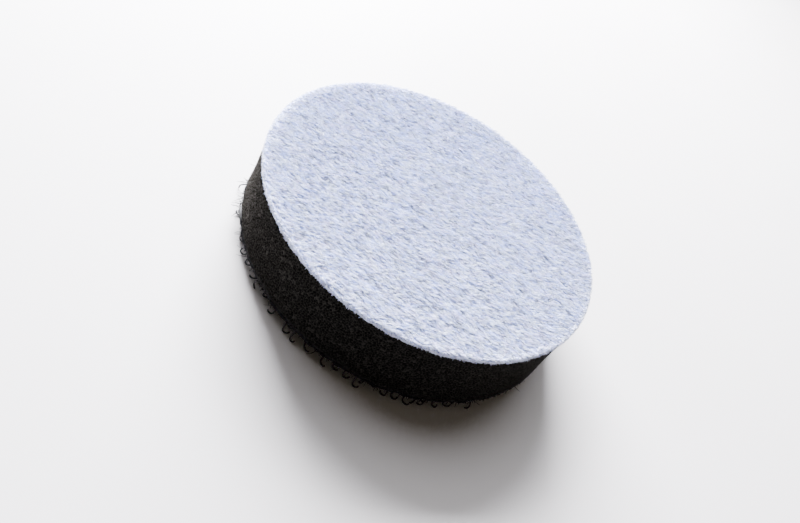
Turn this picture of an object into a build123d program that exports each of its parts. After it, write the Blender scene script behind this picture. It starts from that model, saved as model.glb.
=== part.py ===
from build123d import *
import math
import os

# A round foam polishing pad of the hook-and-loop interface kind, in millimetres.
# It is a stack of bonded layers, all die-cut to one circle, with the woven hook tape underneath.
# Origin: on the pad's axis, at the tips of the hooks. +Z points to the brushed loop face.
# The hook rows run along X, and neighbouring rows face opposite ways.

# Driving dimensions
PAD_DIAMETER = 50.0
PILE_HEIGHT = 0.6
KNIT_THICKNESS = 0.3
LOOP_FILM_THICKNESS = 0.1
FOAM_THICKNESS = 9.0
HOOK_FILM_THICKNESS = 0.1
COATING_THICKNESS = 0.15
TAPE_THICKNESS = 0.5
HOOK_HEIGHT = 1.8

PILE_EDGE_ROUNDING = 0.35

# The hooks: one monofilament a row, with one loop at each pick of the weave, cut open beside its tip.
# The filament is drawn square in section, and the weave's run of it is a flat rib against the tape.
ROW_COUNT = 38
ROW_PITCH = 1.3
HOOK_PITCH = 1.57
FILAMENT_THICKNESS = 0.2
HOOK_BEND_RADIUS = 0.38
HOOK_BEND_ANGLE = 205.0
STUB_HEIGHT = 0.55
LOOP_SHIFT = 0.15
RIB_WIDTH = 0.32
RIB_HEIGHT = 0.14
ROOTED_IN_RIB = 0.07

# Worked out from the driving dimensions
PAD_RADIUS = PAD_DIAMETER / 2
HALF_FILAMENT = FILAMENT_THICKNESS / 2
BEND_CENTRE_Z = HOOK_BEND_RADIUS + HALF_FILAMENT
ROOT_Z = HOOK_HEIGHT - ROOTED_IN_RIB
FIRST_ROW_Y = -(ROW_COUNT - 1) / 2 * ROW_PITCH


def layer(bottom, thickness):
    """One die-cut disc of the stack."""
    disc = Cylinder(PAD_RADIUS, thickness, align=(Align.CENTER, Align.CENTER, Align.MIN))
    return Pos(0, 0, bottom) * disc


def pile_layer(bottom):
    """The brushed nap, which rolls over at the cut edge."""
    disc = layer(bottom, PILE_HEIGHT)
    top_edge = disc.edges().sort_by(Axis.Z)[-1]
    return fillet(top_edge, PILE_EDGE_ROUNDING)


def half_chord(y):
    """How far a row at y may run each way from the middle and stay inside the disc."""
    return math.sqrt(PAD_RADIUS**2 - (abs(y) + RIB_WIDTH / 2) ** 2) - HALF_FILAMENT


def loop_centres(y, shift):
    """Where a row's loops stand along X: on half pitches, and wholly inside the disc."""
    reach = half_chord(y) - HOOK_BEND_RADIUS - HALF_FILAMENT
    most = math.ceil(reach / HOOK_PITCH) + 1
    places = [(n + 0.5) * HOOK_PITCH + shift for n in range(-most, most)]
    return [x for x in places if abs(x) <= reach]


def hook():
    """One hook, from the top of its leg round the bend to its tip, with the tip towards +X."""
    outer_radius = HOOK_BEND_RADIUS + HALF_FILAMENT
    inner_radius = HOOK_BEND_RADIUS - HALF_FILAMENT
    outer_bend = CenterArc((0, BEND_CENTRE_Z), outer_radius, 180, HOOK_BEND_ANGLE)
    inner_bend = CenterArc((0, BEND_CENTRE_Z), inner_radius, 180, HOOK_BEND_ANGLE)
    outer_leg = Line(outer_bend @ 0, (-outer_radius, ROOT_Z))
    inner_leg = Line(inner_bend @ 0, (-inner_radius, ROOT_Z))
    top = Line(outer_leg @ 1, inner_leg @ 1)
    tip = Line(outer_bend @ 1, inner_bend @ 1)
    outline = make_face([outer_bend, inner_bend, outer_leg, inner_leg, top, tip])
    return extrude(Plane.XZ * outline, amount=HALF_FILAMENT, both=True)


def stub():
    """The short end that the cut leaves on the other side of each loop, under the hook's tip."""
    hanging = (Align.CENTER, Align.CENTER, Align.MAX)
    post = Box(FILAMENT_THICKNESS, FILAMENT_THICKNESS, STUB_HEIGHT - ROOTED_IN_RIB, align=hanging)
    return Pos(HOOK_BEND_RADIUS, 0, ROOT_Z) * post


def rib(y):
    """The filament's runs between its loops, where the weave holds it flat against the tape."""
    hanging = (Align.CENTER, Align.CENTER, Align.MAX)
    return Pos(0, y, HOOK_HEIGHT) * Box(2 * half_chord(y), RIB_WIDTH, RIB_HEIGHT, align=hanging)


def hook_row(index, loop):
    """One row of hooks. Odd rows have their tips towards +X, and even rows towards -X."""
    y = FIRST_ROW_Y + (index - 1) * ROW_PITCH
    tips_plus_x = index % 2 == 1
    shift = -LOOP_SHIFT if tips_plus_x else LOOP_SHIFT
    turn = 0 if tips_plus_x else 180
    loops = []
    for x in loop_centres(y, shift):
        loops += [Pos(x, y, 0) * Rot(0, 0, turn) * piece for piece in loop]
    return rib(y).fuse(*loops)


def stack():
    """Each layer's node name and solid, from the hook tape up to the nap."""
    layers = {}
    bottom = HOOK_HEIGHT
    for name, thickness in (
        ("hook_tape_ground", TAPE_THICKNESS),
        ("hook_back_coating", COATING_THICKNESS),
        ("hook_adhesive_film", HOOK_FILM_THICKNESS),
        ("foam_core", FOAM_THICKNESS),
        ("loop_adhesive_film", LOOP_FILM_THICKNESS),
        ("loop_ground_knit", KNIT_THICKNESS),
    ):
        layers[name] = layer(bottom, thickness)
        bottom += thickness
    layers["loop_pile"] = pile_layer(bottom)
    return layers


def rows():
    """Each hook row's node name and solid, from the -Y edge to the +Y edge."""
    loop = (hook(), stub())
    return {f"hook_row_{n:02d}": hook_row(n, loop) for n in range(1, ROW_COUNT + 1)}


os.makedirs("parts", exist_ok=True)
for node, solid in {**stack(), **rows()}.items():
    export_step(solid, f"parts/{node}.step")
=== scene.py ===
import itertools
import math

import bpy
import numpy as np
from mathutils import Matrix, Vector


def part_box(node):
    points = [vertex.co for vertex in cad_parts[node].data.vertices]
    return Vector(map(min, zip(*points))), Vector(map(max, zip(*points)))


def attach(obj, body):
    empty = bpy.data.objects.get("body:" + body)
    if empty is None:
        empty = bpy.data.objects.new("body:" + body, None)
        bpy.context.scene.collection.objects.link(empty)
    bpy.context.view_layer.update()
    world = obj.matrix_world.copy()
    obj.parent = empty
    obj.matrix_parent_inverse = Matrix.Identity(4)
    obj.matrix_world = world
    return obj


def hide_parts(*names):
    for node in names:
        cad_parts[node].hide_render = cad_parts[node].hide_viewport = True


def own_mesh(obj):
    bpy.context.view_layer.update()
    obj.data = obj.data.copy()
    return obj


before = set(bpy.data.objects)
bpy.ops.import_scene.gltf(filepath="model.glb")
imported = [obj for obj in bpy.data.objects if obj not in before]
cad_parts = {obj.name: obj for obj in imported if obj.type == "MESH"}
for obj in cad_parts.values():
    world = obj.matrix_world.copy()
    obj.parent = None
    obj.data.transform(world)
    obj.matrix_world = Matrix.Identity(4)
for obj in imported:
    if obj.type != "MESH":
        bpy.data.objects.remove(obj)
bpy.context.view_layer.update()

# A small round hook-and-loop polishing pad. Lengths are in millimetres until a mesh is made from them.
MM = 0.001


def heights(node):
    """The lowest and highest point of a CAD node."""
    low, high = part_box(node)
    return low.z / MM, high.z / MM


# Taken from the frame
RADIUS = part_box("foam_core")[1].x / MM
TAPE_BOTTOM, TAPE_TOP = heights("hook_tape_ground")
HOOK_FILM_BOTTOM = heights("hook_adhesive_film")[0]
FOAM_BOTTOM, FOAM_TOP = heights("foam_core")
KNIT_BOTTOM, KNIT_TOP = heights("loop_ground_knit")
NAP_BOTTOM, NAP_TOP = heights("loop_pile")
HOOK_ROWS = sorted(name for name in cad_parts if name.startswith("hook_row_"))


def row_y(node):
    """Where a hook row runs across the tape."""
    low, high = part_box(node)
    return (low.y + high.y) / 2 / MM


ROW_PITCH = (row_y(HOOK_ROWS[-1]) - row_y(HOOK_ROWS[0])) / (len(HOOK_ROWS) - 1)

# Foam: the spacing of its wall's points, its cells, its fine grain, its waist and its slow swell.
# PORE_EDGE is where a pore's side starts and ends, counted in from its strut in cells
FOAM_SPACING = 0.12
FOAM_CELL = 0.4
PORE_EDGE = (0.05, 0.5)
PORE_DEPTH = 0.2
FOAM_GRAIN_SIZE = 0.2
FOAM_GRAIN = 0.03
FOAM_WAIST = 0.12
FOAM_SWELL_SIZE = 4.0
FOAM_SWELL = 0.05

# Round sheets: squares along each side of the grid, and how their cut edges wander
SHEET_GRID = 260
NAP_BED_GRID = 300
FILM_GRID = 180
EDGE_CELL = 0.7
EDGE_BAND = 1.2
EDGE_JAG_SHARE = 0.5
KNIT_RAGGEDNESS = 0.12
NAP_BED_RAGGEDNESS = 0.08
FILM_RAGGEDNESS = 0.16
TAPE_RAGGEDNESS = 0.2

# Knit
COURSE_PITCH = 0.7
WALE_PITCH = 0.55
STITCH_HEIGHT = 0.03

# The nap's felted bed
NAP_LIE = math.radians(-3)
SWIRL_SIZE = 3.2
SWIRL_ANGLE = math.radians(12)
BED_HEIGHT = NAP_BOTTOM + 0.27
BED_ROUNDING = 0.2
STREAK_WIDTH = 0.3
STREAK_STRETCH = 4
STREAK_HEIGHT = 0.07
MOTTLE_SIZE = 1.35
MOTTLE_HEIGHT = 0.05

# Every fine strand: where its points are along it, and how steeply it leaves its root
STRAND_STEPS = (0, 0.3, 0.65, 1.0)
STRAND_ARCH = 2.2

# The nap's fibres. A pair is the least and the most
LOCK_SPACING = 0.27
LOCK_JITTER = 0.45
LOCK_INSET = 0.1
LOCK_LENGTH = (0.5, 1.25)
LOCK_RISE = 0.28
LOCK_RISE_SPREAD = 0.1
LOCK_HEADING_SPREAD = math.radians(13)
LOCK_HEADING_SPREAD_AT_RIM = math.radians(35)
LOCK_RIM_BAND = 1.3
LOCK_RIM_INSET = 0.2
LOCK_WIDTH = 0.07
LOCK_GATHER = -0.7
LOCK_TINT_SHARE = 0.92
FIBRES_IN_LOCK = 3
FIBRE_HEADING_SPREAD = math.radians(7)
FIBRE_LENGTH_SHARE = (0.8, 1.15)
LEAST_FIBRE_SHARE = 0.12
FIBRE_OVERHANG = (-0.05, 0.14)
FIBRE_RISE = (0.06, 0.46)
FIBRE_RISE_SPREAD = 0.03
FIBRE_ROOT_INSET = 0.12
FIBRE_ROOT_HEIGHT = (0.1, 0.24)
FIBRE_CURL = 0.05
FIBRE_RADIUS = (0.025, 0.045)
FIBRE_TAPER = (0.9, 1.0, 0.8, 0.25)
MOST_STRANDS = 9500
FIBRE_SIDES = 3

# The nap's cut edge: the strip that rolls over it, and the short fibres that stand out round it
RIM_WIDTH = 0.4
RIM_ROLL = 0.5
RIM_FIBRES = 7000
RIM_ROOT_INSET = (0.05, 0.25)
RIM_ROOT_HEIGHT = (KNIT_BOTTOM + 0.06, NAP_BOTTOM + 0.32)
RIM_HEADING_SPREAD = math.radians(38)
RIM_FIBRE_LENGTH = (0.12, 0.32)
RIM_FIBRE_RISE = (-0.12, 0.08)
RIM_FIBRE_CURL = 0.04
RIM_FIBRE_RADIUS = (0.02, 0.034)
RIM_FIBRE_TAPER = (1.0, 1.0, 0.8, 0.3)

# The lobe of film that has squeezed out. Its place is an angle round the pad
LOBE_PLACE = math.radians(215)
LOBE_LENGTH = 1.5
LOBE_PROUD = 0.42
LOBE_THICKNESS = 0.16
LOBE_WAVE = 0.05
LOBE_INSET = 0.1
LOBE_SIDES = 32
LOBE_RINGS = 15

# Hook tape's weave: the yarns across the rows, and the heights of the weave and of its ribs
CROSS_YARN_PITCH = 0.4
WEAVE_HEIGHT = 0.04
WEAVE_RIB_HEIGHT = 0.02

# Hooks, one filament to a row, as in the frame's rows. Bend angles are in degrees, leans and twists in
# radians, and RIM_LEAN is a slope
HOOK_PITCH = 1.57
LOOP_SHIFT = 0.15
FILAMENT_RADIUS = 0.1
BEND_RADIUS = 0.38
BEND_SHARE = (0.88, 1.12)
WIDEST_BEND_SHARE_AT_RIM = 1.35
BEND_ANGLE = 205
WORN_BEND_ANGLE = 176
BEND_ANGLE_SPREAD = 14
SPLAYED_BEND_ANGLE = (95, 160)
SPLAYED_SHARE = 0.05
SPLAYED_SHARE_AT_RIM = 0.4
CLEAR_OF_FLOOR = 0.16
HOOK_LEAN = 0.08
SPLAYED_LEAN = 0.28
LEAN_ALONG_ROW = 0.7
TWIST = math.radians(11)
SPLAYED_TWIST = 0.5
HOOK_RIM_BAND = 2.5
RIM_LEAN = (-0.1, 0.5)
LEG_POINTS = 5
LEG_SUNK_SHARE = 0.06
BEND_POINTS = 14
TIP_TAPER = 0.96
FILAMENT_SIDES = 8

# The stub that each cut leaves, and the filament's run between its loops
STUB_LENGTH = 0.55
STUB_LENGTH_SHARE = (0.7, 1.15)
STUB_SHARE_AT_RIM = 0.6
STUB_SUNK_SHARE = 0.08
STUB_LEAN = 0.14
STUB_POINTS = 4
RUN_DEPTH = 0.03
RUN_WAVE = 0.05
RUN_SIDE_WAVE = 0.04
RUN_PHASE = 6
RUN_POINTS_A_LOOP = 8
RUN_TAPER = 0.9

# Frayed yarn ends round the tape's edge, with a crowd of them at one side
EVEN_FRAYS = 620
CROWDED_FRAYS = 130
CROWD_PLACE = math.radians(208)
CROWD_SPREAD = math.radians(12)
FRAY_INSET = 0.2
FRAY_HEIGHT = (TAPE_BOTTOM + 0.05, TAPE_TOP)
FRAY_HEADING_SPREAD = math.radians(45)
LONG_FRAY_SHARE = 0.05
LONG_FRAY_SHARE_IN_CROWD = 0.25
LONG_FRAY_LENGTH = (0.8, 1.6)
FRAY_LENGTH = (0.16, 0.38)
FRAY_DROOP = -0.1
FRAY_RISE_SPREAD = 0.25
FRAY_CURL = 0.12
FRAY_RADIUS = (0.02, 0.045)
FRAY_TAPER = (1.0, 1.0, 0.9, 0.5)
FRAY_SIDES = 5

# Floor
FLOOR_RADIUS = 900.0
FLOOR_CORNERS = 96

# Light: a window behind the pad to its left, an even sky, and a dim warm room
DAYLIGHT = (0.92, 0.93, 1.0)
WINDOW_PLACE = (-160, 215, 135)
WINDOW_SIZE = 220
WINDOW_POWER = 23.0
SKY_PLACE = (-160, 215, 200)
SKY_POWER = 5.0
SKY_ANGLE = math.radians(90)
ROOM_COLOUR = (1.0, 0.86, 0.7)
ROOM_STRENGTH = 0.13
BACKDROP_COLOUR = (0.98, 0.98, 1.0)
BACKDROP_STRENGTH = 0.9

# Camera: its place as seen from the middle of the nap's face, how far it looks down, its roll and its lens
VIEW_DISTANCE = 107.07
VIEW_ELEVATION = math.radians(37.0)
VIEW_AZIMUTH = math.radians(3.19)
VIEW_DOWN = math.radians(42.13)
VIEW_ROLL = math.radians(34.6)
LENS = 34.82


# ---- Number patterns ----

def hashed(cells, seed):
    """A number from 0 to 1 for each whole-number cell, always the same for one seed."""
    x, y, z = cells.astype(np.int64).T
    # Large odd numbers, and shifts between them, so that neighbouring cells come out unlike each other.
    mixed = x * 73856093 ^ y * 19349663 ^ z * 83492791 ^ (seed + 1) * 2654435761
    mixed = (mixed ^ (mixed >> 13)) * 1274126177
    mixed = (mixed ^ (mixed >> 16)) & 0xFFFFFF
    return mixed / 0xFFFFFF


def soft_noise(points, size, seed):
    """Soft random hills and hollows of about this size, from -1 to 1."""
    scaled = points / size
    cell = np.floor(scaled).astype(np.int64)
    part = scaled - cell
    part = part * part * (3 - 2 * part)
    total = np.zeros(len(points))
    for corner in itertools.product((0, 1), repeat=3):
        weight = np.prod(np.where(corner, part, 1 - part), axis=1)
        total += weight * hashed(cell + corner, seed)
    return 2 * total - 1


def cell_walls(flat, size, seed):
    """For points in the plane: 0 on the walls between cells of this size, rising inside each cell."""
    scaled = flat / size
    cell = np.floor(scaled).astype(np.int64)
    nearest = np.full(len(flat), np.inf)
    second = np.full(len(flat), np.inf)
    for step in itertools.product((-1, 0, 1), repeat=2):
        neighbour = cell + step
        named = with_height(neighbour, 0)
        centre = neighbour + np.column_stack([hashed(named, seed), hashed(named, seed + 1)])
        distance = np.linalg.norm(scaled - centre, axis=1)
        second = np.minimum(second, np.maximum(nearest, distance))
        nearest = np.minimum(nearest, distance)
    return second - nearest


def eased(values, low, high):
    """0 below low, 1 above high, and a smooth step between."""
    share = np.clip((values - low) / (high - low), 0, 1)
    return share * share * (3 - 2 * share)


def with_height(flat, height):
    """Points in 3-D from points in the plane and a height."""
    return np.column_stack([flat, np.broadcast_to(height, len(flat))])


def directions(angle):
    """The unit vector in the plane at each angle."""
    return np.column_stack([np.cos(angle), np.sin(angle)])


def angles_round(count):
    """This many angles, evenly spaced round a circle."""
    return np.arange(count) * 2 * math.pi / count


# ---- Meshes ----

def mesh_object(name, points, *face_groups):
    """A smooth mesh object. Each group of faces is an array with one row of corners for each face."""
    corners = np.concatenate([group.ravel() for group in face_groups])
    sizes = np.concatenate([np.full(len(group), group.shape[1]) for group in face_groups])
    starts = np.concatenate([[0], np.cumsum(sizes)[:-1]])
    mesh = bpy.data.meshes.new(name)
    mesh.vertices.add(len(points))
    mesh.vertices.foreach_set("co", (points * MM).astype(np.float32).ravel())
    mesh.loops.add(len(corners))
    mesh.loops.foreach_set("vertex_index", corners.astype(np.int32))
    mesh.polygons.add(len(sizes))
    mesh.polygons.foreach_set("loop_start", starts.astype(np.int32))
    mesh.polygons.foreach_set("use_smooth", np.ones(len(sizes), bool))
    mesh.update(calc_edges=True)
    obj = bpy.data.objects.new(name, mesh)
    bpy.context.scene.collection.objects.link(obj)
    return obj


def give_values(obj, name, values):
    """Keeps a number for each point of a mesh, for its material to read."""
    attribute = obj.data.attributes.new(name, "FLOAT", "POINT")
    attribute.data.foreach_set("value", values.astype(np.float32))


def give_materials(obj, *materials):
    """Puts materials on an object, the first in slot 0."""
    for material in materials:
        obj.data.materials.append(material)


def disc_grid(count):
    """A square grid bent round to fill the unit disc evenly, with count squares along each side."""
    line = np.linspace(-1, 1, count + 1)
    a, b = np.meshgrid(line, line, indexing="ij")
    wide = np.abs(a) > np.abs(b)
    radius = np.where(wide, a, b)
    divisor = np.where(radius == 0, 1, radius)
    angle = np.where(wide, math.pi / 4 * b / divisor, math.pi / 2 - math.pi / 4 * a / divisor)
    return np.stack([radius * np.cos(angle), radius * np.sin(angle)], axis=-1).reshape(-1, 2)


def grid_faces(count):
    """The grid's squares, and its rim's points in order round it."""
    index = np.arange((count + 1) ** 2).reshape(count + 1, count + 1)
    squares = np.stack([index[:-1, :-1], index[1:, :-1], index[1:, 1:], index[:-1, 1:]], -1).reshape(-1, 4)
    rim = np.concatenate([index[:-1, 0], index[-1, :-1], index[:0:-1, -1], index[0, :0:-1]])
    return squares, rim


def ring_faces(index):
    """The squares between rings of points that lie one above the other, each ring a row of index."""
    lower, upper = index[:-1], index[1:]
    return np.stack([lower, np.roll(lower, -1, 1), np.roll(upper, -1, 1), upper], -1).reshape(-1, 4)


def round_sheet(name, face, back, relief, raggedness, seed, count=SHEET_GRID, wall_rings=3):
    """A closed round sheet. Its face, at height face, has relief, a function of points in the plane.
    Its back is flat, and its cut edge wanders in and out by raggedness."""
    unit = disc_grid(count)
    squares, rim = grid_faces(count)
    from_middle = np.hypot(*unit.T)
    nearest_edge = unit * RADIUS / np.maximum(from_middle, 0.01)[:, None]
    wander = soft_noise(with_height(nearest_edge, 0), EDGE_CELL, seed)
    near_rim = eased(from_middle, 1 - EDGE_BAND / RADIUS, 1)
    flat = unit * (RADIUS - raggedness * near_rim * (1 - wander))[:, None]
    outward = 1 if face > back else -1
    top = with_height(flat, face + outward * relief(flat))
    rim_points = top[rim]
    rings = [top]
    for ring in range(1, wall_rings + 1):
        share = ring / wall_rings
        below = rim_points.copy()
        below[:, 2] = rim_points[:, 2] * (1 - share) + back * share
        jag = soft_noise(below + [0, 0, seed], EDGE_CELL / 2, seed + 5)
        drawn_in = raggedness / RADIUS * EDGE_JAG_SHARE * (jag[:, None] - 1) * (ring < wall_rings)
        below[:, :2] *= 1 + drawn_in
        rings.append(below)
    loops = [rim] + [len(top) + len(rim) * ring + np.arange(len(rim)) for ring in range(wall_rings)]
    walls = []
    for upper, lower in zip(loops, loops[1:]):
        walls.append(np.stack([upper, lower, np.roll(lower, -1), np.roll(upper, -1)], -1))
    groups = [squares, np.concatenate(walls), loops[-1][None, ::-1]]
    if outward < 0:
        groups = [group[:, ::-1] for group in groups]
    return mesh_object(name, np.concatenate(rings), *groups)


def tube_object(name, bundles, sides, end_slot=None):
    """Closed tubes. A bundle is paths (strands x points x 3), radii (strands x points), a direction
    across each strand, and the material slot of each strand. End_slot is the slot of their cut ends."""
    all_points, walls, caps, wall_slots, cap_slots = [], [], [], [], []
    first = 0
    turn = angles_round(sides)
    for paths, radii, across, slots in bundles:
        along = np.gradient(paths, axis=1)
        along /= np.linalg.norm(along, axis=2, keepdims=True)
        side = across[:, None, :] - along * (along * across[:, None, :]).sum(2, keepdims=True)
        side /= np.linalg.norm(side, axis=2, keepdims=True)
        up = np.cross(along, side)
        ring = np.cos(turn)[:, None] * side[:, :, None, :] + np.sin(turn)[:, None] * up[:, :, None, :]
        points = paths[:, :, None, :] + radii[:, :, None, None] * ring
        strands, steps = paths.shape[:2]
        index = first + np.arange(strands * steps * sides).reshape(strands, steps, sides)
        here, ahead = index[:, :-1], index[:, 1:]
        quads = np.stack([here, np.roll(here, -1, 2), np.roll(ahead, -1, 2), ahead], -1)
        all_points.append(points.reshape(-1, 3))
        walls.append(quads.reshape(-1, 4))
        caps += [index[:, 0, ::-1], index[:, -1]]
        wall_slots.append(np.repeat(slots, (steps - 1) * sides))
        cap_slots += [slots, slots if end_slot is None else np.full(strands, end_slot)]
        first += strands * steps * sides
    obj = mesh_object(name, np.concatenate(all_points), np.concatenate(walls), np.concatenate(caps))
    slot_of_face = np.concatenate(wall_slots + cap_slots)
    obj.data.polygons.foreach_set("material_index", slot_of_face.astype(np.int32))
    return obj


# ---- Materials ----

class Shader:
    """A material with one Principled shader, and short ways to add nodes to it."""

    def __init__(self, name, roughness, **inputs):
        self.material = bpy.data.materials.new(name)
        self.material.use_nodes = True
        self.nodes = self.material.node_tree.nodes
        self.links = self.material.node_tree.links
        self.principled = self.nodes["Principled BSDF"]
        self.principled.inputs["Roughness"].default_value = roughness
        for key, value in inputs.items():
            self.principled.inputs[key.replace("_", " ")].default_value = value

    def add(self, kind, **settings):
        """A new node with these settings."""
        node = self.nodes.new(kind)
        for key, value in settings.items():
            setattr(node, key, value)
        return node

    def place(self):
        """Object coordinates, in metres."""
        return self.add("ShaderNodeTexCoord").outputs["Object"]

    def stretched(self, scale, angle=0.0):
        """Object coordinates, turned about Z and then scaled."""
        turned = self.add("ShaderNodeMapping")
        turned.inputs["Rotation"].default_value = (0, 0, -angle)
        scaled = self.add("ShaderNodeMapping")
        scaled.inputs["Scale"].default_value = scale
        self.links.new(self.place(), turned.inputs["Vector"])
        self.links.new(turned.outputs["Vector"], scaled.inputs["Vector"])
        return scaled.outputs["Vector"]

    def noise(self, vector, scale, detail=4.0, rough=0.6):
        """Fractal noise, from 0 to 1."""
        node = self.add("ShaderNodeTexNoise")
        node.inputs["Scale"].default_value = scale
        node.inputs["Detail"].default_value = detail
        node.inputs["Roughness"].default_value = rough
        self.links.new(vector, node.inputs["Vector"])
        return node.outputs["Fac"]

    def cells(self, vector, scale):
        """0 on the struts between small cells, rising into each cell."""
        node = self.add("ShaderNodeTexVoronoi", feature="DISTANCE_TO_EDGE")
        node.inputs["Scale"].default_value = scale
        self.links.new(vector, node.inputs["Vector"])
        return node.outputs["Distance"]

    def ramp(self, factor, *stops):
        """Colours along a factor: each stop is its place and its red, green and blue."""
        node = self.add("ShaderNodeValToRGB")
        elements = node.color_ramp.elements
        while len(elements) < len(stops):
            elements.new(0.5)
        for element, (place, colour) in zip(elements, stops):
            element.position = place
            element.color = (*colour, 1)
        self.links.new(factor, node.inputs["Fac"])
        return node.outputs["Color"]

    def mixed(self, kind, factor, first, second):
        """Two colours in one, by a kind of blend. A mix node has sockets for numbers and vectors before
        those for colours, so its colours are inputs 6 and 7 and its output 2."""
        node = self.add("ShaderNodeMix", data_type="RGBA", blend_type=kind)
        node.inputs["Factor"].default_value = factor
        self.links.new(first, node.inputs[6])
        self.links.new(second, node.inputs[7])
        return node.outputs[2]

    def colour(self, output):
        """Gives the surface its colour."""
        self.links.new(output, self.principled.inputs["Base Color"])

    def bump(self, height, strength, distance):
        """Bumps of this depth in millimetres."""
        node = self.add("ShaderNodeBump")
        node.inputs["Strength"].default_value = strength
        node.inputs["Distance"].default_value = distance * MM
        self.links.new(height, node.inputs["Height"])
        self.links.new(node.outputs["Normal"], self.principled.inputs["Normal"])


def foam_material():
    """Charcoal struts round pores that are sunk and also darkened with painted shade, near black deep in
    them, and finer cells all over them whose insides carry painted shade too.
    """
    shader = Shader(
        "charcoal_foam", 0.9, Specular_IOR_Level=0.03, Sheen_Weight=0.03, Sheen_Tint=(1.0, 0.88, 0.74, 1)
    )
    pore = shader.add("ShaderNodeAttribute", attribute_name="pore").outputs["Fac"]
    # Painted shade: the colour falls from the struts' charcoal to near black in the sunk pores.
    strut = (0.02, 0.0194, 0.018)
    shaded = (0.004, 0.0041, 0.004)
    hollow = (0.001, 0.001, 0.001)
    depth = shader.ramp(pore, (0, strut), (0.5, shaded), (1, hollow))
    # Painted shade in the fine cells: full colour on their struts, darker inside each cell.
    struts = shader.cells(shader.place(), scale=3400)
    fine = shader.ramp(struts, (0.08, (1, 0.98, 0.95)), (0.3, (0.12, 0.12, 0.12)))
    shader.colour(shader.mixed("MULTIPLY", 1.0, depth, fine))
    shader.bump(struts, strength=0.8, distance=0.1)
    return shader.material


def nap_bed_material():
    """The felted mass under the loose fibres: pale blue, greying with painted shade in the hollows of its
    bump, which shows as shade in the gaps between the fibres.
    """
    shader = Shader("nap_bed", 0.95, Specular_IOR_Level=0.2)
    streaks = shader.noise(shader.stretched((900, 4200, 2000), NAP_LIE), scale=1.0)
    # Painted shade: the low streaks, which the bump turns into hollows, get the dark grey-blue.
    tint = shader.ramp(streaks, (0.35, (0.14, 0.17, 0.28)), (0.65, (0.5, 0.59, 1.0)))
    shader.colour(tint)
    shader.bump(streaks, strength=0.6, distance=0.08)
    return shader.material


def nap_fibre_material(name, colour):
    """One tint of the brushed filament."""
    shader = Shader(name, 0.8, Sheen_Weight=0.05, Specular_IOR_Level=0.2)
    shader.principled.inputs["Base Color"].default_value = (*colour, 1)
    return shader.material


def knit_material():
    """The pale knitted ground that the nap is drawn from."""
    shader = Shader("pale_knit", 0.9)
    cloudy = shader.noise(shader.place(), scale=1500)
    shader.colour(shader.ramp(cloudy, (0.3, (0.3, 0.32, 0.4)), (0.7, (0.55, 0.58, 0.7))))
    shader.bump(shader.noise(shader.place(), scale=5000, detail=3), strength=0.5, distance=0.05)
    return shader.material


def film_material(name, dark, light):
    """Hot-melt adhesive, or the tape's coating: dark and uneven."""
    shader = Shader(name, 0.6, Specular_IOR_Level=0.15)
    shader.colour(shader.ramp(shader.noise(shader.place(), scale=1300), (0.3, dark), (0.7, light)))
    shader.bump(shader.noise(shader.place(), scale=2600, detail=3), strength=0.5, distance=0.06)
    return shader.material


def tape_material():
    """Black woven nylon, with the yarns' fibres showing along their length."""
    shader = Shader("black_woven_tape", 0.9, Specular_IOR_Level=0.08)
    along = shader.noise(shader.stretched((1500, 9000, 3000)), scale=1.0)
    shader.colour(shader.ramp(along, (0.3, (0.0015, 0.0015, 0.0018)), (0.75, (0.008, 0.008, 0.009))))
    shader.bump(along, strength=0.5, distance=0.04)
    return shader.material


def filament_material(name, colour, roughness):
    """Black nylon monofilament, or its cut end, made paler as a painted glint."""
    shader = Shader(name, roughness, Specular_IOR_Level=0.2)
    shader.principled.inputs["Base Color"].default_value = (*colour, 1)
    return shader.material


def floor_material():
    """A plain pale floor with the faintest cloudiness."""
    shader = Shader("pale_floor", 0.55, Specular_IOR_Level=0.3)
    cloudy = shader.noise(shader.place(), scale=9)
    shader.colour(shader.ramp(cloudy, (0.3, (0.56, 0.54, 0.53)), (0.7, (0.6, 0.58, 0.57))))
    return shader.material


# ---- Foam ----

def foam_core():
    """The foam disc. Its cut wall is open cells, with pores sunk between struts near the full radius."""
    around = round(2 * math.pi * RADIUS / FOAM_SPACING)
    up = round((FOAM_TOP - FOAM_BOTTOM) / FOAM_SPACING)
    angle, share = np.meshgrid(angles_round(around), np.linspace(0, 1, up + 1))
    angle, share = angle.ravel(), share.ravel()
    height = FOAM_BOTTOM + share * (FOAM_TOP - FOAM_BOTTOM)
    outward = directions(angle)
    wall = with_height(outward * RADIUS, height)
    unrolled = np.column_stack([angle * RADIUS, height])
    pore = eased(cell_walls(unrolled, FOAM_CELL, seed=21), *PORE_EDGE)
    grain = FOAM_GRAIN * (1 + soft_noise(wall, FOAM_GRAIN_SIZE, seed=31))
    waist = FOAM_WAIST * 4 * share * (1 - share)
    swell = FOAM_SWELL * (1 + soft_noise(wall, FOAM_SWELL_SIZE, seed=41)) / 2
    depth = PORE_DEPTH * pore + grain + waist + swell
    points = with_height(outward * (RADIUS - depth)[:, None], height)
    index = np.arange(len(points)).reshape(up + 1, around)
    foam = mesh_object("foam_disc", points, ring_faces(index), index[-1][None], index[0][None, ::-1])
    # The pore mask also sets the painted shade in the foam's material.
    give_values(foam, "pore", pore)
    give_materials(foam, foam_material())
    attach(foam, "hook_side")
    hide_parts("foam_core")
    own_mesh(foam)


# ---- Loop side ----

def knit_relief(flat):
    """Courses and wales of the knit, as rounded stitches."""
    course = np.cos(2 * math.pi * flat[:, 0] / COURSE_PITCH)
    wale = np.cos(2 * math.pi * flat[:, 1] / WALE_PITCH + course)
    return STITCH_HEIGHT * course * wale - STITCH_HEIGHT


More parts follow.
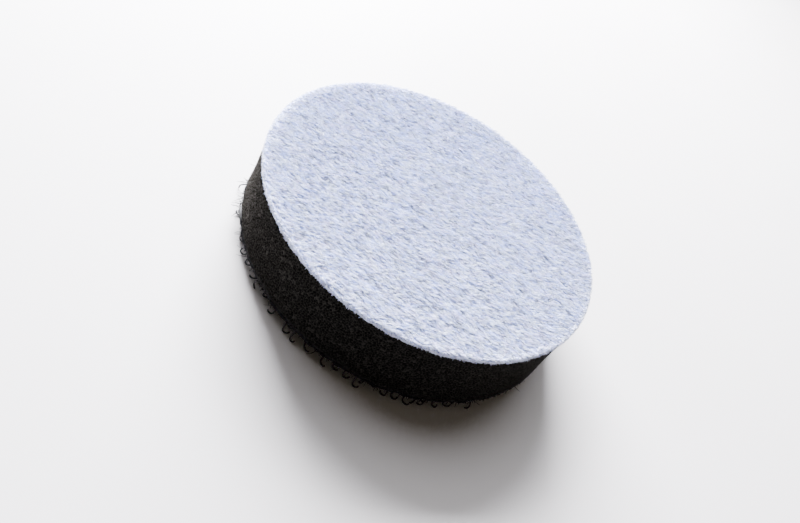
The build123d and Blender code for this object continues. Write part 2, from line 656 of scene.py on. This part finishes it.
def loop_ground():
    """The knitted ground under the nap."""
    knit = round_sheet("loop_knit", KNIT_TOP, KNIT_BOTTOM, knit_relief, KNIT_RAGGEDNESS, 3)
    give_materials(knit, knit_material())
    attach(knit, "loop_face")
    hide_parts("loop_ground_knit")


def lie_direction(flat):
    """Which way the nap leans at each point: nearly along X, with slow swirls."""
    return NAP_LIE + SWIRL_ANGLE * soft_noise(with_height(flat, 0), SWIRL_SIZE, seed=51)


def mottle(flat):
    """The slow rise and fall that the bed and the fibres over it share, from -1 to 1."""
    return soft_noise(with_height(flat, 0), MOTTLE_SIZE, seed=71)


def bed_relief(flat):
    """Brushed streaks and soft mottling, rolled over at the rim."""
    cos, sin = math.cos(NAP_LIE), math.sin(NAP_LIE)
    along = flat[:, 0] * cos + flat[:, 1] * sin
    across = flat[:, 1] * cos - flat[:, 0] * sin
    drawn_out = np.column_stack([along / STREAK_STRETCH, across, 0 * along])
    streaks = soft_noise(drawn_out, STREAK_WIDTH, seed=61)
    past = np.clip(np.hypot(*flat.T) - (RADIUS - BED_ROUNDING), 0, BED_ROUNDING)
    roll = BED_ROUNDING - np.sqrt(BED_ROUNDING**2 - past**2)
    return STREAK_HEIGHT * streaks + MOTTLE_HEIGHT * mottle(flat) - roll


def nap_bed():
    """The felted mass that the brushed fibres lie on."""
    bed = round_sheet(
        "nap_bed", BED_HEIGHT, NAP_BOTTOM, bed_relief, NAP_BED_RAGGEDNESS, 4, count=NAP_BED_GRID
    )
    give_materials(bed, nap_bed_material())
    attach(bed, "loop_face")
    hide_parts("loop_pile")


NAP_TINTS = (
    ("nap_white", (0.8, 0.86, 1.0)),
    ("nap_pale_blue", (0.58, 0.67, 1.0)),
    ("nap_blue_grey", (0.19, 0.205, 0.28)),
    ("nap_pinkish", (0.78, 0.76, 1.0)),
)
NAP_TINT_SHARES = (0.46, 0.25, 0.13, 0.16)
# Tint shares at the cut edge: paler than the rest, a painted highlight of light caught by the rim's fuzz.
RIM_HIGHLIGHT_TINT_SHARES = (0.6, 0.1, 0.0, 0.3)


def scattered(spacing, radius, rng):
    """Points on a jittered square grid that lie inside a circle."""
    line = np.arange(-radius, radius, spacing)
    grid = np.stack(np.meshgrid(line, line), -1).reshape(-1, 2)
    grid += rng.uniform(-LOCK_JITTER, LOCK_JITTER, grid.shape) * spacing
    return grid[np.hypot(*grid.T) < radius]


def strand_paths(root, root_height, heading, length, rise, curl, gather):
    """Paths that leave their roots steeply and lie over along their heading. Gather moves a tip sideways."""
    along = directions(heading)
    across = np.column_stack([-np.sin(heading), np.cos(heading)])
    steps = np.array(STRAND_STEPS)
    paths = np.zeros((len(root), len(steps), 3))
    for number, step in enumerate(steps):
        sideways = curl * math.sin(math.pi * step) + gather * step
        flat = root + along * (length * step)[:, None] + across * sideways[:, None]
        paths[:, number, :2] = flat
        paths[:, number, 2] = root_height + rise * (1 - (1 - step) ** STRAND_ARCH)
    return paths, with_height(across, 0)


def cut_at_rim(root, heading, length, overhang):
    """The length that keeps each strand's tip inside the cut edge, give or take its overhang."""
    tip = root + length[:, None] * directions(heading)
    inside = np.hypot(*root.T)
    travel = np.maximum(np.hypot(*tip.T) - inside, 1e-6)
    share = np.where(inside + travel > RADIUS + overhang, (RADIUS + overhang - inside) / travel, 1)
    return length * np.clip(share, LEAST_FIBRE_SHARE, 1)


def rolled_over_rim(paths):
    """Strands near the cut edge bend down over it."""
    past = np.clip(np.hypot(paths[..., 0], paths[..., 1]) - (RADIUS - RIM_WIDTH), 0, None)
    paths[..., 2] -= RIM_ROLL * past**2
    return paths


def nap_locks(rng):
    """The nap's locks: their places, how near they are to the edge, headings, rises, lengths and tints."""
    place = scattered(LOCK_SPACING, RADIUS - LOCK_INSET, rng)
    count = len(place)
    at_edge = eased(np.hypot(*place.T), RADIUS - LOCK_RIM_BAND, RADIUS - LOCK_RIM_INSET)
    heading_spread = LOCK_HEADING_SPREAD + LOCK_HEADING_SPREAD_AT_RIM * at_edge
    heading = lie_direction(place) + rng.normal(0, 1, count) * heading_spread
    rise = LOCK_RISE + LOCK_RISE_SPREAD * mottle(place) + rng.normal(0, LOCK_RISE_SPREAD, count)
    length = rng.uniform(*LOCK_LENGTH, count)
    tint = rng.choice(len(NAP_TINTS), count, p=NAP_TINT_SHARES)
    return place, at_edge, heading, rise, length, tint


def fibre_tints(lock_tint, at_edge, rng):
    """Each fibre's tint: mostly its lock's, a few its own, and paler ones towards the cut edge as a painted
    highlight on the rim.
    """
    count = len(lock_tint)
    own_tint = rng.choice(len(NAP_TINTS), count, p=NAP_TINT_SHARES)
    tint = np.where(rng.random(count) < LOCK_TINT_SHARE, lock_tint, own_tint)
    rim_highlight_tint = rng.choice(len(NAP_TINTS), count, p=RIM_HIGHLIGHT_TINT_SHARES)
    return np.where(rng.random(count) < at_edge, rim_highlight_tint, tint)


def nap_fibres(materials):
    """The brushed fibres, in small locks that lie one way, split into pieces of a sensible size."""
    rng = np.random.default_rng(7)
    locks, at_edge, lock_heading, lock_rise, lock_length, lock_tint = nap_locks(rng)
    owner = np.repeat(np.arange(len(locks)), FIBRES_IN_LOCK)
    count = len(owner)
    offset = rng.normal(0, LOCK_WIDTH, (count, 2))
    heading = lock_heading[owner] + rng.normal(0, FIBRE_HEADING_SPREAD, count)
    sideways = offset[:, 1] * np.cos(heading) - offset[:, 0] * np.sin(heading)
    root = locks[owner] + offset
    root *= np.minimum(1, (RADIUS - FIBRE_ROOT_INSET) / np.maximum(np.hypot(*root.T), 1e-6))[:, None]
    length = lock_length[owner] * rng.uniform(*FIBRE_LENGTH_SHARE, count)
    length = cut_at_rim(root, heading, length, rng.uniform(*FIBRE_OVERHANG, count))
    rise = np.clip(lock_rise[owner] + rng.normal(0, FIBRE_RISE_SPREAD, count), *FIBRE_RISE)
    height = NAP_BOTTOM + rng.uniform(*FIBRE_ROOT_HEIGHT, count)
    curl = rng.normal(0, FIBRE_CURL, count)
    paths, across = strand_paths(root, height, heading, length, rise, curl, LOCK_GATHER * sideways)
    paths = rolled_over_rim(paths)
    radii = rng.uniform(*FIBRE_RADIUS, count)[:, None] * np.array(FIBRE_TAPER)
    tint = fibre_tints(lock_tint[owner], at_edge[owner], rng)
    order = rng.permutation(count)
    pieces = math.ceil(count / MOST_STRANDS)
    for number in range(pieces):
        chosen = order[number::pieces]
        bundle = (paths[chosen], radii[chosen], across[chosen], tint[chosen])
        finish_fibres(tube_object(f"nap_fibres_{number + 1}", [bundle], FIBRE_SIDES), materials)


def rim_fibres(materials):
    """Short fibres that stand out all round the cut edge of the nap."""
    rng = np.random.default_rng(8)
    angle = rng.uniform(0, 2 * math.pi, RIM_FIBRES)
    root = (RADIUS - rng.uniform(*RIM_ROOT_INSET, RIM_FIBRES))[:, None] * directions(angle)
    heading = angle + rng.normal(0, RIM_HEADING_SPREAD, RIM_FIBRES)
    length = rng.uniform(*RIM_FIBRE_LENGTH, RIM_FIBRES)
    height = rng.uniform(*RIM_ROOT_HEIGHT, RIM_FIBRES)
    rise = rng.uniform(*RIM_FIBRE_RISE, RIM_FIBRES)
    curl = rng.normal(0, RIM_FIBRE_CURL, RIM_FIBRES)
    paths, across = strand_paths(root, height, heading, length, rise, curl, np.zeros(RIM_FIBRES))
    radii = rng.uniform(*RIM_FIBRE_RADIUS, RIM_FIBRES)[:, None] * np.array(RIM_FIBRE_TAPER)
    # The rim fibres take the paler rim tints: painted highlight.
    tint = rng.choice(len(NAP_TINTS), RIM_FIBRES, p=RIM_HIGHLIGHT_TINT_SHARES)
    finish_fibres(tube_object("nap_rim_fibres", [(paths, radii, across, tint)], FIBRE_SIDES), materials)


def finish_fibres(fibres, materials):
    """What every piece made of the nap's fibres needs."""
    give_materials(fibres, *materials)
    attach(fibres, "loop_face")


# ---- Films and coating ----

def no_relief(flat):
    """A plain face."""
    return np.zeros(len(flat))


def bonded_film(name, node, body, seed, material):
    """A thin dark layer whose edge has crept in and out where it was cut."""
    bottom, top = heights(node)
    film = round_sheet(name, top, bottom, no_relief, FILM_RAGGEDNESS, seed, count=FILM_GRID, wall_rings=2)
    give_materials(film, material)
    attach(film, body)
    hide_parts(node)


def squeezed_out_film(material):
    """A small lobe of film that has squeezed out between the foam and the tape at one place on the edge."""
    lifts = np.linspace(-math.pi / 2, math.pi / 2, LOBE_RINGS + 2)[1:-1]
    turn, lift = np.meshgrid(angles_round(LOBE_SIDES), lifts)
    along = LOBE_LENGTH * np.cos(turn) * np.cos(lift)
    out = LOBE_PROUD * np.sin(turn) * np.cos(lift)
    high = LOBE_THICKNESS * np.sin(lift) + LOBE_WAVE * np.cos(2 * along)
    radial = np.array([math.cos(LOBE_PLACE), math.sin(LOBE_PLACE)])
    sideways = np.array([-math.sin(LOBE_PLACE), math.cos(LOBE_PLACE)])
    bow = RADIUS - LOBE_INSET - along**2 / (2 * RADIUS)
    flat = (bow + out)[..., None] * radial + along[..., None] * sideways
    points = with_height(flat.reshape(-1, 2), HOOK_FILM_BOTTOM + high.ravel())
    index = np.arange(turn.size).reshape(turn.shape)
    walls = ring_faces(index)[:, ::-1]
    lobe = mesh_object("squeezed_out_film", points, walls, index[-1][None, ::-1], index[0][None])
    give_materials(lobe, material)
    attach(lobe, "hook_side")


# ---- Hook side ----

def tape_relief(flat):
    """Plain weave: ribs along the hook rows, crossed by finer yarns that go over and under them."""
    rib = np.cos(2 * math.pi * flat[:, 1] / (ROW_PITCH / 2))
    over = np.cos(2 * math.pi * flat[:, 0] / CROSS_YARN_PITCH)
    return WEAVE_HEIGHT * rib * over + WEAVE_RIB_HEIGHT * rib - (WEAVE_HEIGHT + WEAVE_RIB_HEIGHT)


def hook_tape():
    """The woven tape. Its relief is on its underside, between the hooks."""
    tape = round_sheet("hook_tape", TAPE_BOTTOM, TAPE_TOP, tape_relief, TAPE_RAGGEDNESS, 6, wall_rings=4)
    give_materials(tape, tape_material())
    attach(tape, "hook_side")
    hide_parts("hook_tape_ground")


def turned(points, axis, angle):
    """Points turned about one axis through the origin, with an angle for each strand."""
    one, two = [k for k in range(3) if k != axis]
    cos, sin = np.cos(angle)[:, None], np.sin(angle)[:, None]
    result = points.copy()
    result[..., one] = points[..., one] * cos - points[..., two] * sin
    result[..., two] = points[..., one] * sin + points[..., two] * cos
    return result


def loop_places(reach):
    """Where the loops stand along a row, on half pitches."""
    most = math.ceil(reach / HOOK_PITCH) + 1
    return (np.arange(-most, most) + 0.5) * HOOK_PITCH


def at_rim(places, y):
    """Whether each loop stands beside the tape's cut edge."""
    return np.hypot(places, y) > RADIUS - HOOK_RIM_BAND


def at_tape(x, y):
    """Where each strand of a row meets the underside of the tape."""
    return np.column_stack([x, np.full(len(x), y), np.full(len(x), TAPE_BOTTOM)])[:, None]


def hook_curves(bend, angle, drop):
    """Each hook in its own plane: down its leg from inside the tape, then round its bend to its tip."""
    bend, angle, drop = bend[:, None], angle[:, None], drop[:, None]
    leg = -drop * np.linspace(-LEG_SUNK_SHARE, 1, LEG_POINTS)[None, :]
    swept = math.pi + angle * np.linspace(0, 1, BEND_POINTS + 1)[1:]
    x = np.concatenate([-bend + 0 * leg, bend * np.cos(swept)], axis=1)
    z = np.concatenate([leg, -drop + bend * np.sin(swept)], axis=1)
    return x, z


def hooks_of_row(node, number, rng):
    """The bent hooks of one row: each a leg, a bend and a cut tip, no two quite alike."""
    y = row_y(node)
    facing = 1 if number % 2 == 0 else -1
    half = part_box(node)[1].x / MM
    places = loop_places(half) - facing * LOOP_SHIFT
    places = places[np.abs(places) <= half - BEND_RADIUS]
    count = len(places)
    near_rim = at_rim(places, y)
    splayed = rng.random(count) < np.where(near_rim, SPLAYED_SHARE_AT_RIM, SPLAYED_SHARE)
    smallest, widest = BEND_SHARE
    bend = BEND_RADIUS * rng.uniform(smallest, np.where(near_rim, WIDEST_BEND_SHARE_AT_RIM, widest))
    plain_angle = np.where(near_rim, WORN_BEND_ANGLE, BEND_ANGLE) + rng.normal(0, BEND_ANGLE_SPREAD, count)
    angle = np.radians(np.where(splayed, rng.uniform(*SPLAYED_BEND_ANGLE, count), plain_angle))
    drop = TAPE_BOTTOM - bend - FILAMENT_RADIUS - rng.uniform(0, CLEAR_OF_FLOOR, count)
    x, z = hook_curves(bend, angle, drop)
    paths = np.stack([(x + bend[:, None]) * facing, 0 * x, z], axis=-1)
    lean = np.where(splayed, SPLAYED_LEAN, HOOK_LEAN)
    paths = turned(paths, 0, rng.normal(0, 1, count) * lean)
    paths = turned(paths, 1, rng.normal(0, 1, count) * lean * LEAN_ALONG_ROW)
    twist = rng.normal(0, TWIST, count) + splayed * rng.normal(0, SPLAYED_TWIST, count)
    paths = turned(paths, 2, twist)
    lowest = -(TAPE_BOTTOM - FILAMENT_RADIUS)
    paths[..., 2] *= np.minimum(1, lowest / paths[..., 2].min(axis=1))[:, None]
    away = np.column_stack([places, np.full(count, y)]) / np.maximum(np.hypot(places, y), 1)[:, None]
    lean_out = near_rim * rng.uniform(*RIM_LEAN, count)
    paths[..., :2] -= paths[..., 2:] * (lean_out[:, None] * away)[:, None, :]
    paths += at_tape(places - facing * BEND_RADIUS, y)
    across = np.column_stack([-np.sin(twist), np.cos(twist), 0 * twist])
    radii = np.full(paths.shape[:2], FILAMENT_RADIUS)
    radii[:, -1] *= TIP_TAPER
    return places, y, facing, (paths, radii, across, np.zeros(count, int))


def stubs_of_row(places, y, facing, rng):
    """The short cut ends that stand opposite the hooks' tips."""
    count = len(places)
    length = STUB_LENGTH * rng.uniform(*STUB_LENGTH_SHARE, count)
    length *= np.where(at_rim(places, y), STUB_SHARE_AT_RIM, 1)
    paths = np.zeros((count, STUB_POINTS, 3))
    paths[..., 2] = -length[:, None] * np.linspace(-STUB_SUNK_SHARE, 1, STUB_POINTS)
    paths = turned(paths, 0, rng.normal(0, STUB_LEAN, count))
    paths = turned(paths, 1, rng.normal(0, STUB_LEAN, count))
    paths += at_tape(places + facing * BEND_RADIUS, y)
    radii = np.full((count, STUB_POINTS), FILAMENT_RADIUS)
    return paths, radii, np.tile([0.0, 1.0, 0.0], (count, 1)), np.zeros(count, int)


def woven_run(node, y, rng):
    """The filament's run along the tape between its loops, pulled in and out by the weave."""
    low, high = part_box(node)
    x = np.arange(low.x / MM + FILAMENT_RADIUS, high.x / MM - FILAMENT_RADIUS, HOOK_PITCH / RUN_POINTS_A_LOOP)
    z = TAPE_BOTTOM - RUN_DEPTH - RUN_WAVE * np.cos(2 * math.pi * x / HOOK_PITCH)
    wave = y + RUN_SIDE_WAVE * np.sin(2 * math.pi * x / HOOK_PITCH + rng.uniform(0, RUN_PHASE))
    path = np.column_stack([x, wave, z])[None]
    radii = np.full(path.shape[:2], FILAMENT_RADIUS * RUN_TAPER)
    return path, radii, np.array([[0.0, 1.0, 0.0]]), np.zeros(1, int)


def hook_rows(materials):
    """Every row of the filament: its hooks, its stubs and its run between them."""
    for number, node in enumerate(HOOK_ROWS):
        rng = np.random.default_rng(100 + number)
        places, y, facing, hooks = hooks_of_row(node, number, rng)
        stubs = stubs_of_row(places, y, facing, rng)
        run = woven_run(node, y, rng)
        row = tube_object(f"hooks_{number + 1:02d}", [hooks, stubs, run], FILAMENT_SIDES, end_slot=1)
        give_materials(row, *materials)
        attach(row, "hook_side")
        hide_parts(node)


def tape_frays(material):
    """Fine black ends of yarn that stand out of the tape's cut edge, more of them at one side."""
    rng = np.random.default_rng(9)
    even = rng.uniform(0, 2 * math.pi, EVEN_FRAYS)
    crowded = CROWD_PLACE + rng.normal(0, CROWD_SPREAD, CROWDED_FRAYS)
    angle = np.concatenate([even, crowded])
    count = len(angle)
    root = (RADIUS - FRAY_INSET) * directions(angle)
    heading = angle + rng.normal(0, FRAY_HEADING_SPREAD, count)
    in_crowd = np.arange(count) >= EVEN_FRAYS
    is_long = rng.random(count) < np.where(in_crowd, LONG_FRAY_SHARE_IN_CROWD, LONG_FRAY_SHARE)
    length = np.where(is_long, rng.uniform(*LONG_FRAY_LENGTH, count), rng.uniform(*FRAY_LENGTH, count))
    height = rng.uniform(*FRAY_HEIGHT, count)
    rise = rng.normal(FRAY_DROOP, FRAY_RISE_SPREAD, count)
    curl = rng.normal(0, FRAY_CURL, count)
    paths, across = strand_paths(root, height, heading, length, rise, curl, np.zeros(count))
    radii = rng.uniform(*FRAY_RADIUS, count)[:, None] * np.array(FRAY_TAPER)
    frays = tube_object("tape_frays", [(paths, radii, across, np.zeros(count, int))], FRAY_SIDES)
    give_materials(frays, material)
    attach(frays, "hook_side")


# ---- Studio ----

def floor():
    """The pale round floor that the hooks rest on."""
    points = with_height(FLOOR_RADIUS * directions(angles_round(FLOOR_CORNERS)), 0)
    plane = mesh_object("floor", points, np.arange(FLOOR_CORNERS)[None])
    give_materials(plane, floor_material())


def light(name, kind, place, power):
    """A lamp of daylight that faces the pad."""
    lamp = bpy.data.lights.new(name, kind)
    lamp.energy = power
    lamp.color = DAYLIGHT
    obj = bpy.data.objects.new(name, lamp)
    obj.location = Vector(place) * MM
    obj.rotation_mode = "QUATERNION"
    obj.rotation_quaternion = (-obj.location).to_track_quat("-Z", "Y")
    bpy.context.scene.collection.objects.link(obj)
    return lamp


def soft_room():
    """The room's dim warm light, with a plain pale backdrop for the camera alone."""
    world = bpy.data.worlds.new("soft_room")
    world.use_nodes = True
    nodes = world.node_tree.nodes
    links = world.node_tree.links
    room = nodes["Background"]
    room.inputs["Color"].default_value = (*ROOM_COLOUR, 1)
    room.inputs["Strength"].default_value = ROOM_STRENGTH
    backdrop = nodes.new("ShaderNodeBackground")
    backdrop.inputs["Color"].default_value = (*BACKDROP_COLOUR, 1)
    backdrop.inputs["Strength"].default_value = BACKDROP_STRENGTH
    mix = nodes.new("ShaderNodeMixShader")
    links.new(nodes.new("ShaderNodeLightPath").outputs["Is Camera Ray"], mix.inputs["Fac"])
    links.new(room.outputs["Background"], mix.inputs[1])
    links.new(backdrop.outputs["Background"], mix.inputs[2])
    links.new(mix.outputs["Shader"], nodes["World Output"].inputs["Surface"])
    bpy.context.scene.world = world


def studio():
    """The floor, the room and the two lamps."""
    floor()
    soft_room()
    light("window", "AREA", WINDOW_PLACE, WINDOW_POWER).size = WINDOW_SIZE * MM
    light("sky", "SUN", SKY_PLACE, SKY_POWER).angle = SKY_ANGLE


def camera():
    """Looks towards the pad's axis from above and in front, rolled over to one side."""
    data = bpy.data.cameras.new("camera")
    data.lens = LENS
    data.clip_start = MM
    obj = bpy.data.objects.new("camera", data)
    level = math.cos(VIEW_ELEVATION)
    back = Vector((math.sin(VIEW_AZIMUTH) * level, -math.cos(VIEW_AZIMUTH) * level, math.sin(VIEW_ELEVATION)))
    place = Vector((0, 0, NAP_TOP)) + VIEW_DISTANCE * back
    heading = Vector((-math.sin(VIEW_AZIMUTH), math.cos(VIEW_AZIMUTH), 0))
    level_right = Vector((math.cos(VIEW_AZIMUTH), math.sin(VIEW_AZIMUTH), 0))
    forward = heading * math.cos(VIEW_DOWN) - Vector((0, 0, math.sin(VIEW_DOWN)))
    level_up = level_right.cross(forward)
    right = level_right * math.cos(VIEW_ROLL) + level_up * math.sin(VIEW_ROLL)
    up = right.cross(forward)
    turn = Matrix((right, up, -forward)).transposed().to_4x4()
    obj.matrix_world = Matrix.Translation(place * MM) @ turn
    bpy.context.scene.collection.objects.link(obj)
    bpy.context.scene.camera = obj


# ---- The pad ----

def pad():
    """Every piece of the pad, from the foam outwards."""
    foam_core()
    loop_ground()
    nap_bed()
    nap_materials = [nap_fibre_material(name, colour) for name, colour in NAP_TINTS]
    nap_fibres(nap_materials)
    rim_fibres(nap_materials)
    film = film_material("dark_adhesive", (0.003, 0.003, 0.003), (0.014, 0.013, 0.012))
    coating = film_material("black_coating", (0.002, 0.002, 0.002), (0.008, 0.008, 0.008))
    bonded_film("loop_film", "loop_adhesive_film", "loop_face", 12, film)
    bonded_film("hook_film", "hook_adhesive_film", "hook_side", 13, film)
    bonded_film("hook_coating", "hook_back_coating", "hook_side", 14, coating)
    squeezed_out_film(film)
    hook_tape()
    black = filament_material("black_filament", (0.004, 0.004, 0.0045), 0.4)
    # The cut ends are paler: a painted glint.
    cut_end_glint = filament_material("cut_filament_glint", (0.05, 0.05, 0.055), 0.6)
    hook_rows([black, cut_end_glint])
    tape_frays(black)


pad()
studio()
camera()

bpy.context.view_layer.update()
